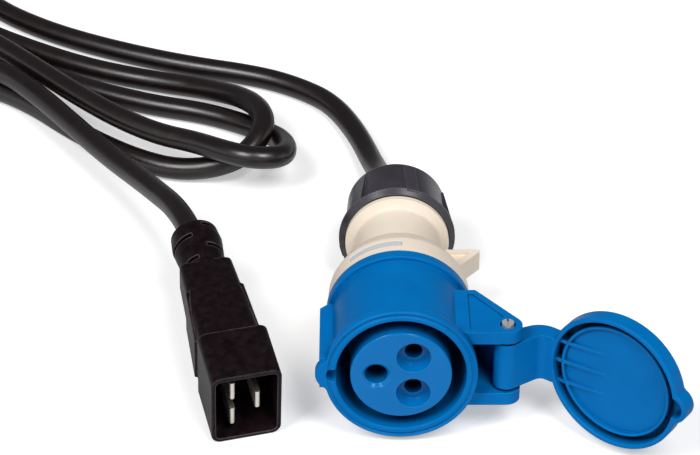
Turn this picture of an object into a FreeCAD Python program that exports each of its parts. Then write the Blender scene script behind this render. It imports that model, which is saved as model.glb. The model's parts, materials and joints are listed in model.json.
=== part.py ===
"""Power adapter lead: a 16 A three-pole trailing coupler with a hinged lid, a three-core
cable laid in a loose hank, and a moulded high-temperature appliance plug with three flat
blades.  Millimetres, +Z up, the lead lying on the plane Z = 0.

The coupler is modelled in its own axes (X towards the hinge, Y from the mouth to the
cable, Z up, origin in the middle of the mouth) and the plug in axes of the same kind
(origin in the middle of its open face).  Each group is then laid down as one.
"""
import FreeCAD, Part
import math
import os
import re
import Sketcher
from FreeCAD import Placement, Rotation, Vector

os.makedirs("parts", exist_ok=True)
doc = FreeCAD.newDocument("adapter_lead")
sheet = doc.addObject("Spreadsheet::Sheet", "sizes")

# ---------------------------------------------------------------- driving sizes, mm and degrees
SIZES = [
    # where the two ends of the lead lie
    ("mouth_x", -35.281), ("mouth_y", -46.723), ("nose_up", 4.4),
    ("plug_x", -89.981), ("plug_y", -47.923), ("plug_yaw", 14.9), ("plug_nose_down", 7.4),
    # clearances
    ("seat_gap", 0.10), ("screw_gap", 0.05), ("pin_gap", 0.05), ("press_gap", 0.01),
    # front housing
    ("rim_radius", 27.2), ("mouth_radius", 23.1), ("bead_length", 3.6), ("bead_slope", 1.6),
    ("body_radius", 25.0), ("body_length", 36.0), ("collar_radius", 26.7),
    ("collar_length", 4.6), ("seat_radius", 24.0), ("seat_depth", 35.0),
    ("lip_round", 1.3), ("lip_inner_round", 0.8), ("collar_round", 0.5), ("lip_groove", 25.6),
    ("lip_groove_width", 1.5),
    ("lip_groove_depth", 0.55),
    ("keyway_offset", 24.0), ("keyway_radius", 2.65), ("keyway_depth", 32.0),
    ("key_boss_radius", 6.4), ("key_blend", 2.6),
    ("key_rib_reach", 28.9), ("key_rib_width", 12.4), ("key_rib_length", 33.0),
    ("key_rib_run_out", 4.0),
    # hinge
    ("hinge_x", 37.6), ("hinge_depth", 9.3), ("ear_radius", 5.2), ("ear_slope", 38.0),
    ("ear_inner", 10.7), ("ear_thickness", 5.0), ("ear_root_x", 15.0),
    ("ear_shoulder_x", 27.0), ("ear_rear", 31.0), ("ear_edge", 2.2), ("ear_recess", 0.9),
    ("ear_wall", 1.8), ("ear_wall_stop", 4.6),
    ("pin_radius", 1.5), ("pin_head_radius", 2.15), ("pin_head_height", 1.8),
    ("pin_slot_width", 0.8), ("pin_slot_depth", 0.9), ("head_recess_radius", 2.8),
    ("head_recess", 0.9),
    ("knuckle_radius", 4.6), ("knuckle_end_gap", 1.3),
    ("spring_pocket_radius", 3.6), ("spring_pocket_depth", 9.0),
    ("spring_wire", 0.8), ("spring_radius", 2.6), ("spring_pitch", 1.1), ("spring_turns", 6),
    # lid
    ("lid_open_angle", 143.6), ("lid_rim_gap", 0.4), ("lid_radius", 26.1), ("lid_height", 7.0),
    ("lid_wall", 1.9), ("lid_floor", 1.6), ("lid_ring_radius", 21.9), ("lid_ring_wall", 1.2),
    ("lid_ring_set_back", 1.6), ("lid_edge_round", 1.6), ("lid_lip_round", 0.7), ("lid_ring_round", 0.5),
    ("lid_plate_drop", 1.5), ("lid_dish_radius", 18.6), ("lid_dish_depth", 2.4), ("lid_key_blend", 2.5),
    ("lid_key_radius", 6.0), ("lid_key_offset", 23.6),
    ("lid_rib_width", 1.3), ("lid_rib_length", 17.0), ("lid_rib_spacing", 8.5),
    ("lid_rib_height", 1.3),
    ("arm_bend", 8.4), ("arm_back", 4.5), ("arm_round", 3.0), ("arm_back_round", 9.0),
    ("knuckle_lean", 20.0),
    # contact insert
    ("insert_radius", 18.0), ("insert_set_back", 0.2), ("insert_round", 0.7), ("sleeve_set_back", 2.4),
    ("flange_thickness", 2.4), ("block_length", 11.0),
    ("contact_circle", 8.8), ("pole_spread", 120.0),
    ("pole_recess_radius", 6.2), ("pole_recess_floor", 5.3), ("pole_recess_depth", 4.4),
    ("pole_entry_radius", 3.15), ("earth_recess_radius", 5.2), ("earth_recess_depth", 1.0),
    ("earth_entry_radius", 4.1), ("entry_depth", 12.0),
    ("screw_access_radius", 2.6),
    # contact sleeves and terminal screws
    ("pole_bore", 2.55), ("pole_wall", 1.4), ("earth_bore", 3.05), ("earth_wall", 1.45),
    ("sleeve_bore_depth", 20.0), ("sleeve_slit", 0.7),
    ("sleeve_slit_length", 12.0), ("wire_bore", 1.6), ("wire_bore_depth", 10.0),
    ("screw_radius", 1.75), ("screw_length", 4.2), ("screw_from_end", 5.0),
    ("screw_slot", 0.8),
    # rear housing
    ("rear_radius", 26.0), ("rear_barrel_end", 50.0),
    ("shoulder_radius", 23.0), ("shoulder_depth", 58.0), ("neck_radius", 16.4),
    ("neck_front", 66.0), ("neck_rear", 84.4), ("rear_flange_radius", 19.8), ("neck_round", 1.6),
    ("flange_slope", 1.1),
    ("rear_flange_front", 86.4), ("rear_flange_rear", 88.6), ("rear_wall", 2.3),
    ("thread_radius", 16.9), ("thread_end", 102.0), ("shoulder_round", 4.0),
    ("slot_depth", 44.6), ("slot_width", 3.2), ("slot_cut", 1.3), ("slot_sweep", 46.0),
    ("slot_start", 44.0), ("ledge_radius", 11.0),
    ("latch_reach", 31.0), ("latch_rear", 75.8), ("latch_tip", 1.3), ("latch_front", 64.0),
    ("latch_root_x", 22.5), ("latch_width", 8.0), ("latch_wall", 1.5), ("latch_recess", 1.6),
    # gland nut, seal and cage
    ("nut_flange_radius", 22.3), ("nut_flange_length", 2.1), ("nut_flange_bevel", 1.5),
    ("nut_radius", 20.3), ("nut_rear_radius", 18.9), ("nut_length", 26.0),
    ("nut_wall_rear", 2.2), ("nut_mouth_radius", 6.2), ("nut_rear_round", 1.6),
    ("nut_ribs", 6), ("nut_rib_height", 2.0), ("nut_rib_rear_height", 0.7),
    ("nut_rib_width", 4.6), ("nut_rib_turn", 15.0),
    ("seal_length", 6.5), ("cage_length", 4.0), ("cage_wall", 2.0),
    # cable and cores
    ("cable_radius", 4.6), ("core_radius", 1.25), ("cable_entry", 92.0), ("cable_stop", 76.0),
    # plug
    ("shroud_width", 25.6), ("shroud_height", 33.0), ("shroud_length", 23.0),
    ("shroud_corner", 3.6), ("shroud_wall", 1.6), ("shroud_edge", 0.5), ("cavity_depth", 18.5),
    ("grip_width", 22.8), ("grip_step", 2.3), ("grip_corner", 3.2), ("grip_shift", -0.9),
    ("grip_rear_width", 20.0), ("grip_rear_height", 15.6), ("grip_end", 68.0),
    ("grip_panel_front", 26.0), ("grip_panel_rear", 52.0), ("grip_panel_height", 19.0),
    ("grip_panel_proud", 0.9),
    ("relief_radius", 9.7), ("relief_waist", 8.2), ("relief_end", 91.0),
    ("relief_swell", 83.0), ("relief_end_radius", 6.4), ("relief_slot", 1.6),
    ("relief_pitch", 5.4), ("relief_slot_depth", 2.6),
    ("blade_width", 8.0), ("blade_thickness", 2.0), ("blade_set_back", 2.6),
    ("blade_root", 6.0), ("blade_spread", 13.0), ("blade_offset", 9.2),
    ("blade_round", 0.9), ("bridge_thickness", 3.0),
]
VALUE = dict(SIZES)
for row, (alias, number) in enumerate(SIZES, 1):
    sheet.set(f"A{row}", alias)
    sheet.set(f"B{row}", str(number))
    sheet.setAlias(f"B{row}", alias)
doc.recompute()


def bind(text):
    """Turn the names of sizes in an expression into references to the sheet's cells."""
    return re.sub(r"[A-Za-z_]+",
                  lambda word: "sizes." + word.group(0) if word.group(0) in VALUE else word.group(0),
                  str(text))


def size(alias):
    return float(sheet.get(alias))


# ---------------------------------------------------------------- how the features are made
def new_body(label):
    body = doc.addObject("PartDesign::Body", label)
    body.Label = label
    return body


def new_sketch(body, plane, offset="0", turn=0.0):
    """An empty sketch on one of the body's own origin planes, turned about the sketch's own
    upright and then moved along its normal."""
    sketch = body.newObject("Sketcher::SketchObject", body.Name + "_outline")
    face = [feature for feature in body.Origin.OriginFeatures if feature.Role == plane][0]
    sketch.AttachmentSupport = [(face, "")]
    sketch.MapMode = "FlatFace"
    sketch.AttachmentOffset = Placement(Vector(), Rotation(Vector(0, 1, 0), turn))
    if offset != "0":
        sketch.setExpression("AttachmentOffset.Base.x", bind(f"({offset}) * sin({turn})"))
        sketch.setExpression("AttachmentOffset.Base.z", bind(f"({offset}) * cos({turn})"))
    return sketch


def outline(body, plane, points, offset="0", turn=0.0):
    """A closed outline of straight sides whose corners are bound to the sheet."""
    sketch = new_sketch(body, plane, offset, turn)
    count = len(points)
    start = [Vector(10 * math.cos(2 * math.pi * i / count), 10 * math.sin(2 * math.pi * i / count), 0)
             for i in range(count)]
    for i in range(count):
        sketch.addGeometry(Part.LineSegment(start[i], start[(i + 1) % count]), False)
    for i in range(count):
        sketch.addConstraint(Sketcher.Constraint("Coincident", i, 2, (i + 1) % count, 1))
    for i, corner in enumerate(points):
        for kind, place in zip(("DistanceX", "DistanceY"), corner):
            index = sketch.addConstraint(Sketcher.Constraint(kind, -1, 1, i, 1, 1.0))
            sketch.setExpression(f"Constraints[{index}]", bind(place))
    return sketch


def rings(body, plane, circles, offset="0", turn=0.0):
    """One or more circles, each given by its centre and radius."""
    sketch = new_sketch(body, plane, offset, turn)
    for i, (across, up, radius) in enumerate(circles):
        sketch.addGeometry(Part.Circle(Vector(i * 30, 0, 0), Vector(0, 0, 1), 5), False)
        for kind, place in (("DistanceX", across), ("DistanceY", up)):
            index = sketch.addConstraint(Sketcher.Constraint(kind, -1, 1, i, 3, 1.0))
            sketch.setExpression(f"Constraints[{index}]", bind(place))
        index = sketch.addConstraint(Sketcher.Constraint("Radius", i, 5.0))
        sketch.setExpression(f"Constraints[{index}]", bind(radius))
    return sketch


def extrude(body, kind, sketch, length, reverse=False, both=False):
    """A Pad or Pocket of the sketch."""
    feature = body.newObject("PartDesign::" + kind, body.Name + "_" + kind.lower())
    feature.Profile = sketch
    feature.Refine = False
    feature.Reversed = reverse
    if both:
        feature.Midplane = True
    feature.setExpression("Length", bind(length))
    doc.recompute()
    return feature


def lathe(body, kind, sketch, angle="360"):
    """A Revolution or Groove of the sketch about the body's own Y axis."""
    feature = body.newObject("PartDesign::" + kind, body.Name + "_" + kind.lower())
    feature.Profile = sketch
    feature.Refine = False
    feature.ReferenceAxis = (sketch, ["V_Axis"])
    feature.setExpression("Angle", bind(angle))
    doc.recompute()
    return feature


def turned_at(body, kind, across, up, points):
    """A Revolution or Groove about a line parallel to Y through (across, up)."""
    sketch = new_sketch(body, "XY_Plane", up)
    sketch.addGeometry(Part.LineSegment(Vector(0, 0, 0), Vector(0, 5, 0)), True)
    for point, kind_of, place in ((1, "DistanceX", across), (2, "DistanceX", across),
                                  (1, "DistanceY", "0"), (2, "DistanceY", "5")):
        index = sketch.addConstraint(Sketcher.Constraint(kind_of, -1, 1, 0, point, 1.0))
        sketch.setExpression(f"Constraints[{index}]", bind(place))
    count = len(points)
    start = [Vector(30 + 10 * math.cos(2 * math.pi * i / count), 10 * math.sin(2 * math.pi * i / count), 0)
             for i in range(count)]
    for i in range(count):
        sketch.addGeometry(Part.LineSegment(start[i], start[(i + 1) % count]), False)
    for i in range(count):
        sketch.addConstraint(Sketcher.Constraint("Coincident", i + 1, 2, (i + 1) % count + 1, 1))
    for i, (radius, depth) in enumerate(points):
        for kind_of, place in (("DistanceX", f"{across} + {radius}"), ("DistanceY", depth)):
            index = sketch.addConstraint(Sketcher.Constraint(kind_of, -1, 1, i + 1, 1, 1.0))
            sketch.setExpression(f"Constraints[{index}]", bind(place))
    feature = body.newObject("PartDesign::" + kind, body.Name + "_" + kind.lower())
    feature.Profile = sketch
    feature.Refine = False
    feature.ReferenceAxis = (sketch, ["Axis0"])
    feature.Angle = 360
    doc.recompute()
    return feature


def round_rims(body, places, radius):
    """Fillet the circular edges round the Y axis that lie at (radius, depth) in places."""
    base = body.Tip
    names = []
    for number, edge in enumerate(base.Shape.Edges, 1):
        curve = edge.Curve
        if not isinstance(curve, Part.Circle):
            continue
        for ring_radius, depth in places:
            if abs(curve.Radius - ring_radius) < 0.02 and abs(curve.Center.y - depth) < 0.02 \
                    and abs(curve.Center.x) < 0.02 and abs(curve.Center.z) < 0.02:
                names.append(f"Edge{number}")
    feature = body.newObject("PartDesign::Fillet", body.Name + "_round")
    feature.Base = (base, names)
    feature.Refine = False
    feature.setExpression("Radius", bind(radius))
    doc.recompute()
    return feature


def round_edges(body, chosen, radius):
    """Fillet the edges for which chosen(edge) is true."""
    base = body.Tip
    names = [f"Edge{n}" for n, edge in enumerate(base.Shape.Edges, 1) if chosen(edge)]
    feature = body.newObject("PartDesign::Fillet", body.Name + "_round")
    feature.Base = (base, names)
    feature.Refine = False
    feature.setExpression("Radius", bind(radius))
    doc.recompute()
    return feature


def repeat(body, originals, count, sketch):
    """Polar pattern of features about the body's own Y axis."""
    pattern = body.newObject("PartDesign::PolarPattern", body.Name + "_pattern")
    pattern.Originals = originals
    pattern.Refine = False
    pattern.Axis = (sketch, ["V_Axis"])
    pattern.Angle = 360
    pattern.setExpression("Occurrences", bind(count))
    body.Tip = pattern
    doc.recompute()
    return pattern


def mirror_across(body, originals, plane):
    mirrored = body.newObject("PartDesign::Mirrored", body.Name + "_mirrored")
    mirrored.Originals = originals
    mirrored.Refine = False
    face = [feature for feature in body.Origin.OriginFeatures if feature.Role == plane][0]
    mirrored.MirrorPlane = (face, [""])
    body.Tip = mirrored
    doc.recompute()
    return mirrored


# ---------------------------------------------------------------- how the two ends lie
# The coupler rests on its collar and on the flange of its gland nut, so its nose points up.
mouth_height = (size("collar_radius") * math.cos(math.radians(size("nose_up")))
                + (size("body_length") + size("collar_length")) * math.sin(math.radians(size("nose_up"))))
coupler_pose = Placement(Vector(size("mouth_x"), size("mouth_y"), mouth_height),
                         Rotation(Vector(1, 0, 0), -size("nose_up")))
hinge_line = Vector(size("hinge_x"), size("hinge_depth"), 0)
lid_turn = Placement(Vector(), Rotation(Vector(0, 0, 1), size("lid_open_angle")), hinge_line)
lid_pose = coupler_pose.multiply(lid_turn)
# The plug stands on the front edge of its shroud, and the cable holds its tail up.
plug_height = size("shroud_height") / 2 * math.cos(math.radians(size("plug_nose_down")))
plug_pose = Placement(Vector(size("plug_x"), size("plug_y"), plug_height),
                      Rotation(Vector(0, 0, 1), size("plug_yaw"))
                      .multiply(Rotation(Vector(1, 0, 0), size("plug_nose_down"))))
pieces = []


def keep(piece, pose):
    piece.Placement = pose
    pieces.append(piece)


# ---------------------------------------------------------------- front housing
# Blue polyamide moulding: the mouth with its rolled lip, keyway, hinge ears and rear collar.
front = new_body("front_housing")
front_end = "body_length + collar_length"
lathe(front, "Revolution", outline(front, "XY_Plane", [
    ("0", "0"), ("rim_radius", "0"), ("rim_radius", "bead_length"),
    ("body_radius", "bead_length + bead_slope"), ("body_radius", "body_length"),
    ("collar_radius", "body_length"), ("collar_radius", front_end), ("0", front_end)]))
round_rims(front, [(size("rim_radius"), size("bead_length"))], "lip_round")
round_rims(front, [(size("collar_radius"), size("body_length")),
                   (size("collar_radius"), size("body_length") + size("collar_length"))], "collar_round")
# the bead swells over the keyway in a bump blended into the rim
extrude(front, "Pad", rings(front, "XZ_Plane", [("-keyway_offset", "0", "key_boss_radius")]),
        "bead_length", reverse=True)
round_edges(front, lambda edge: len(edge.Vertexes) == 2 and edge.CenterOfMass.x < -size("keyway_offset")
            and abs(edge.CenterOfMass.z) > 2 and edge.CenterOfMass.y < size("bead_length")
            and abs(edge.Vertexes[0].Point.y - edge.Vertexes[1].Point.y) > 0.2, "key_blend")
round_edges(front, lambda edge: max(abs(vertex.Point.y) for vertex in edge.Vertexes) < 0.01,
            "lip_inner_round")
# box rib that runs back from the bump
extrude(front, "Pad", outline(front, "XY_Plane", [
    ("-key_rib_reach", "bead_length / 2"), ("-mouth_radius", "bead_length / 2"),
    ("-mouth_radius", "key_rib_length + key_rib_run_out"),
    ("-body_radius", "key_rib_length + key_rib_run_out"),
    ("-key_rib_reach", "key_rib_length")]), "key_rib_width", both=True)
# hinge ears: a web that slopes down to a round end about the hinge pin
ear_web = extrude(front, "Pad", outline(front, "XY_Plane", [
    ("ear_root_x", "ear_rear"), ("ear_shoulder_x", "ear_rear"),
    ("hinge_x + ear_radius * cos(ear_slope)", "hinge_depth + ear_radius * sin(ear_slope)"),
    ("hinge_x", "hinge_depth"), ("hinge_x", "hinge_depth - ear_radius"),
    ("ear_root_x", "hinge_depth - ear_radius")], "ear_inner"), "ear_thickness")
ear_end = extrude(front, "Pad", rings(front, "XY_Plane", [("hinge_x", "hinge_depth", "ear_radius")],
                                      "ear_inner"), "ear_thickness")
# the outer face of each ear is sunk, which leaves a raised edge along the slope
ear_sunk = extrude(front, "Pocket", outline(front, "XY_Plane", [
    ("body_radius - 1", "ear_rear - ear_edge"),
    ("ear_shoulder_x - ear_edge / 2", "ear_rear - ear_edge"),
    ("hinge_x - ear_edge / 2", "hinge_depth + ear_radius"),
    ("hinge_x - ear_radius", "hinge_depth - ear_radius + ear_edge"),
    ("body_radius - 1", "hinge_depth - ear_radius + ear_edge")],
    "ear_inner + ear_thickness - ear_recess"), "ear_recess + 1", reverse=True)
ear_head = extrude(front, "Pocket", rings(front, "XY_Plane",
                   [("hinge_x", "hinge_depth", "head_recess_radius")],
                   "ear_inner + ear_thickness - head_recess"), "head_recess + 1", reverse=True)
mirror_across(front, [ear_web, ear_end, ear_sunk, ear_head], "XY_Plane")
# sloping wall that closes the back of the hinge between the ears, clear of the knuckle
slope_x = "hinge_x + ear_radius * cos(ear_slope) - ear_wall_stop * sin(ear_slope)"
slope_y = "hinge_depth + ear_radius * sin(ear_slope) + ear_wall_stop * cos(ear_slope)"
extrude(front, "Pad", outline(front, "XY_Plane", [
    ("ear_root_x", "ear_rear"), ("ear_shoulder_x", "ear_rear"), (slope_x, slope_y),
    (slope_x + " - ear_wall * cos(ear_slope)", slope_y + " - ear_wall * sin(ear_slope)"),
    ("ear_shoulder_x - ear_wall * cos(ear_slope)", "ear_rear - ear_wall"),
    ("ear_root_x", "ear_rear - ear_wall")]),
    "2 * ear_inner + ear_wall", both=True)
extrude(front, "Pocket", rings(front, "XY_Plane", [("hinge_x", "hinge_depth", "pin_radius + press_gap")]),
        "4 * (ear_inner + ear_thickness)", both=True)
lathe(front, "Groove", outline(front, "XY_Plane", [
    ("0", "-1"), ("mouth_radius", "-1"), ("mouth_radius", "seat_depth"), ("seat_radius", "seat_depth"),
    ("seat_radius", front_end + " + 1"), ("0", front_end + " + 1")]))
round_rims(front, [(size("mouth_radius"), 0.0)], "lip_inner_round")
lathe(front, "Groove", outline(front, "XY_Plane", [
    ("lip_groove - lip_groove_width / 2", "-0.01"),
    ("lip_groove - lip_groove_width / 4", "lip_groove_depth"),
    ("lip_groove + lip_groove_width / 4", "lip_groove_depth"),
    ("lip_groove + lip_groove_width / 2", "-0.01")]))
extrude(front, "Pocket", rings(front, "XZ_Plane", [("-keyway_offset", "0", "keyway_radius")]),
        "keyway_depth")
extrude(front, "Pocket", outline(front, "XZ_Plane", [
    ("-keyway_offset", "-keyway_radius"), ("-insert_radius", "-keyway_radius"),
    ("-insert_radius", "keyway_radius"), ("-keyway_offset", "keyway_radius")]), "keyway_depth")
keep(front, coupler_pose)

# ---------------------------------------------------------------- lid
# Blue polyamide cap, drawn closed over the mouth; its arm carries the knuckle of the hinge.
lid = new_body("lid")
lid_back = "-(lid_rim_gap + lid_height)"
lid_inside = "-(lid_rim_gap + lid_height - lid_floor)"
lathe(lid, "Revolution", outline(lid, "XY_Plane", [
    ("0", lid_back), ("lid_radius", lid_back), ("lid_radius", "-lid_rim_gap"), ("0", "-lid_rim_gap")]))
# bump over the keyway, blended into the cap's side
extrude(lid, "Pad", rings(lid, "XZ_Plane", [("-lid_key_offset", "0", "lid_key_radius")],
                          "lid_rim_gap"), "lid_height")
round_edges(lid, lambda edge: len(edge.Vertexes) == 2 and edge.Length > size("lid_height") * 0.9
            and edge.Length < size("lid_height") * 1.1
            and abs(math.hypot(edge.CenterOfMass.x, edge.CenterOfMass.z) - size("lid_radius")) < 0.05
            and abs(edge.CenterOfMass.z) > 2, "lid_key_blend")
round_edges(lid, lambda edge: abs(edge.CenterOfMass.y + size("lid_rim_gap") + size("lid_height")) < 0.01,
            "lid_edge_round")
lathe(lid, "Groove", outline(lid, "XY_Plane", [
    ("0", "0"), ("lid_radius - lid_wall", "0"), ("lid_radius - lid_wall", lid_inside), ("0", lid_inside)]))
extrude(lid, "Pocket", rings(lid, "XZ_Plane", [("-lid_key_offset", "0", "lid_key_radius - lid_wall")]),
        "lid_rim_gap + lid_height - lid_floor", reverse=True)
round_edges(lid, lambda edge: abs(edge.CenterOfMass.y + size("lid_rim_gap")) < 0.01, "lid_lip_round")
# inner ring with the raised plate inside it, and the shallow dish behind that plate
lid_plate = "-(lid_rim_gap + lid_ring_set_back + lid_plate_drop)"
ring_top = "-(lid_rim_gap + lid_ring_set_back)"
lathe(lid, "Revolution", outline(lid, "XY_Plane", [
    ("0", lid_inside + " - lid_floor / 2"), ("lid_ring_radius", lid_inside + " - lid_floor / 2"),
    ("lid_ring_radius", ring_top), ("lid_ring_radius - lid_ring_wall", ring_top),
    ("lid_ring_radius - lid_ring_wall", lid_plate), ("0", lid_plate)]))
lathe(lid, "Groove", outline(lid, "XY_Plane", [
    ("0", lid_back + " - 1"), ("lid_dish_radius + 1", lid_back + " - 1"),
    ("lid_dish_radius", lid_back + " + lid_dish_depth"),
    ("0", lid_back + " + lid_dish_depth")]))
round_rims(lid, [(size("lid_ring_radius"), -size("lid_rim_gap") - size("lid_ring_set_back")),
                 (size("lid_ring_radius") - size("lid_ring_wall"),
                  -size("lid_rim_gap") - size("lid_ring_set_back"))],
           "lid_ring_round")
# three ribs from the side wall over the ring, running out on the plate
for place in ("0", "lid_rib_spacing", "-lid_rib_spacing"):
    sketch = outline(lid, "XY_Plane", [
        ("lid_radius - lid_wall", lid_inside + " - lid_floor / 2"),
        ("lid_radius - lid_wall", lid_plate + " + lid_rib_height"),
        ("lid_ring_radius - lid_ring_wall", lid_plate + " + lid_rib_height"),
        ("lid_ring_radius - lid_ring_wall - lid_rib_length", lid_plate),
        ("lid_ring_radius - lid_ring_wall - lid_rib_length", lid_inside + " - lid_floor / 2")],
        place)
    extrude(lid, "Pad", sketch, "lid_rib_width", both=True)
# arm and knuckle
arm_span = "2 * (ear_inner - knuckle_end_gap)"
extrude(lid, "Pad", outline(lid, "XY_Plane", [
    ("lid_radius - lid_wall", "-lid_rim_gap"), ("hinge_x - arm_bend", "-lid_rim_gap"),
    ("hinge_x - knuckle_radius * cos(knuckle_lean)", "hinge_depth + knuckle_radius * sin(knuckle_lean)"),
    ("hinge_x", "hinge_depth"),
    ("hinge_x + knuckle_radius * cos(knuckle_lean)", "hinge_depth - knuckle_radius * sin(knuckle_lean)"),
    ("hinge_x - arm_back", lid_back + " + lid_edge_round / 2"),
    ("lid_radius - lid_wall", lid_back + " + lid_edge_round / 2")]), arm_span, both=True)
round_edges(lid,
            lambda edge: len(edge.Vertexes) == 2
            and abs(edge.Vertexes[0].Point.z - edge.Vertexes[1].Point.z) > size("ear_inner")
            and abs(edge.CenterOfMass.x - size("hinge_x") + size("arm_bend")) < 0.01, "arm_round")
round_edges(lid,
            lambda edge: len(edge.Vertexes) == 2
            and abs(edge.Vertexes[0].Point.z - edge.Vertexes[1].Point.z) > size("ear_inner")
            and abs(edge.CenterOfMass.x - size("hinge_x") + size("arm_back")) < 0.01, "arm_back_round")
extrude(lid, "Pad", rings(lid, "XY_Plane", [("hinge_x", "hinge_depth", "knuckle_radius")]),
        arm_span, both=True)
extrude(lid, "Pocket", rings(lid, "XY_Plane", [("hinge_x", "hinge_depth", "pin_radius + pin_gap")]),
        "4 * ear_inner", both=True)
extrude(lid, "Pocket", rings(lid, "XY_Plane", [("hinge_x", "hinge_depth", "spring_pocket_radius")],
                             "ear_inner - knuckle_end_gap"), "spring_pocket_depth")
keep(lid, lid_pose)

# ---------------------------------------------------------------- hinge pin and spring
# Plated steel pin with a slotted head, drawn about its own Z axis.
pin = new_body("hinge_pin")
extrude(pin, "Pad", rings(pin, "XY_Plane", [("0", "0", "pin_radius")]),
        "2 * (ear_inner + ear_thickness - head_recess)", both=True)
pin_head = extrude(pin, "Pad", rings(pin, "XY_Plane", [("0", "0", "pin_head_radius")],
                                     "ear_inner + ear_thickness - head_recess"), "pin_head_height")
mirror_across(pin, [pin_head], "XY_Plane")
extrude(pin, "Pocket", outline(pin, "XY_Plane", [
    ("-pin_slot_width / 2", "-2 * pin_head_radius"), ("pin_slot_width / 2", "-2 * pin_head_radius"),
    ("pin_slot_width / 2", "2 * pin_head_radius"), ("-pin_slot_width / 2", "2 * pin_head_radius")],
    "ear_inner + ear_thickness - head_recess + pin_head_height"), "pin_slot_depth")
hinge_pose = coupler_pose.multiply(Placement(hinge_line, Rotation()))
keep(pin, hinge_pose)


def bent_wire(points):
    """A path of straight runs joined by tangent arcs."""
    edges, start = [], points[0]
    radii = []
    for i in range(1, len(points) - 1):
        corner = points[i]
        back, ahead = points[i - 1] - corner, points[i + 1] - corner
        turn = math.pi - back.getAngle(ahead)
        reach = 0.45 * min(back.Length, ahead.Length)
        radius = reach / math.tan(turn / 2)
        radii.append(radius)
        first = corner + Vector(back).normalize() * reach
        last = corner + Vector(ahead).normalize() * reach
        middle_way = (Vector(back).normalize() + Vector(ahead).normalize()).normalize()
        middle = corner + middle_way * (radius / math.cos(turn / 2) - radius)
        edges.append(Part.LineSegment(start, first).toShape())
        edges.append(Part.Arc(first, middle, last).toShape())
        start = last
    edges.append(Part.LineSegment(start, points[-1]).toShape())
    return Part.Wire(edges), radii


def tube(points, radius):
    """A round tube along the path, and the bend radii of the path."""
    path, radii = bent_wire(points)
    ring = Part.Wire(Part.Circle(points[0], points[1] - points[0], radius).toShape())
    return path.makePipeShell([ring], True, False), path, radii


def wire_piece(label, shape, pose=None):
    piece = doc.addObject("Part::Feature", label)
    piece.Label = label
    piece.Shape = shape
    keep(piece, pose or Placement())
    return piece


# Coiled steel spring in the knuckle; its leg comes out over the knuckle to the housing.
coil = Part.makeHelix(size("spring_pitch"), size("spring_pitch") * size("spring_turns"),
                      size("spring_radius"))
coil_ring = Part.Wire(Part.Circle(Vector(size("spring_radius"), 0, 0),
                                  Vector(0, 2 * math.pi * size("spring_radius"), size("spring_pitch")),
                                  size("spring_wire") / 2).toShape())
coil_solid = Part.Wire(coil).makePipeShell([coil_ring], True, True)
coil_start = size("ear_inner") - size("knuckle_end_gap") - size("spring_pocket_depth") + size("spring_wire")
coil_solid.rotate(Vector(), Vector(0, 0, 1), 90)
coil_solid.translate(Vector(0, 0, coil_start))
leg_height = size("ear_inner") - size("knuckle_end_gap") / 2
coil_end = coil_start + size("spring_pitch") * size("spring_turns")
leg_reach = size("hinge_x") - math.sqrt(size("body_radius") ** 2 - leg_height ** 2) - size("pin_gap")
leg, leg_path, leg_radii = tube([Vector(0, size("spring_radius"), coil_end),
                                 Vector(0, size("spring_radius"), leg_height),
                                 Vector(-leg_reach, size("spring_radius"), leg_height)],
                                 size("spring_wire") / 2)
knot = Part.makeSphere(size("spring_wire") / 2, Vector(0, size("spring_radius"), coil_end))
spring = wire_piece("hinge_spring", coil_solid.fuse([leg, knot]).removeSplitter(), hinge_pose)

# ---------------------------------------------------------------- contact insert
# Dark blue moulded carrier held from behind, with an entry and a bore for each sleeve.
POLES = [("line", size("pole_spread") / 2, "pole"), ("neutral", -size("pole_spread") / 2, "pole"),
         ("earth", 180.0, "earth")]
insert = new_body("contact_insert")
insert_rear = "seat_depth + flange_thickness + block_length"
sleeve = "(seat_depth + flange_thickness + block_length - sleeve_set_back - entry_depth)"
sleeve_length = size("seat_depth") + size("flange_thickness") + size("block_length") \
    - size("sleeve_set_back") - size("entry_depth")
lathe(insert, "Revolution", outline(insert, "XY_Plane", [
    ("0", "insert_set_back"), ("insert_radius", "insert_set_back"), ("insert_radius", insert_rear),
    ("0", insert_rear)]))
round_rims(insert, [(size("insert_radius"), size("insert_set_back"))], "insert_round")
for pole, angle, kind in POLES:
    recess = f"{kind}_recess_radius"
    floor = "pole_recess_floor" if kind == "pole" else "earth_entry_radius"
    bore = f"{kind}_bore + {kind}_wall + screw_gap"
    turned_at(insert, "Groove", f"contact_circle * cos({angle})", f"contact_circle * sin({angle})", [
        ("0", "-1"), (recess, "-1"), (recess, "insert_set_back"),
        (floor, f"insert_set_back + {kind}_recess_depth"),
        (f"{kind}_entry_radius", f"insert_set_back + {kind}_recess_depth + 0.01"),
        (f"{kind}_entry_radius", "entry_depth"),
        (bore, "entry_depth"), (bore, insert_rear + " + 1"), ("0", insert_rear + " + 1")])
    extrude(insert, "Pocket", rings(insert, "XY_Plane",
                                    [("0", "entry_depth + " + sleeve + " - screw_from_end",
            "screw_access_radius")], "contact_circle", 90.0 - angle), "2 * insert_radius", reverse=True)
keep(insert, coupler_pose)

# Ring pressed over the insert; it is trapped between the two housings.
retainer = new_body("insert_ring")
lathe(retainer, "Revolution", outline(retainer, "XY_Plane", [
    ("insert_radius + press_gap", "seat_depth"), ("seat_radius - seat_gap", "seat_depth"),
    ("seat_radius - seat_gap", "seat_depth + flange_thickness"),
    ("insert_radius + press_gap", "seat_depth + flange_thickness")]))
keep(retainer, coupler_pose)

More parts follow.
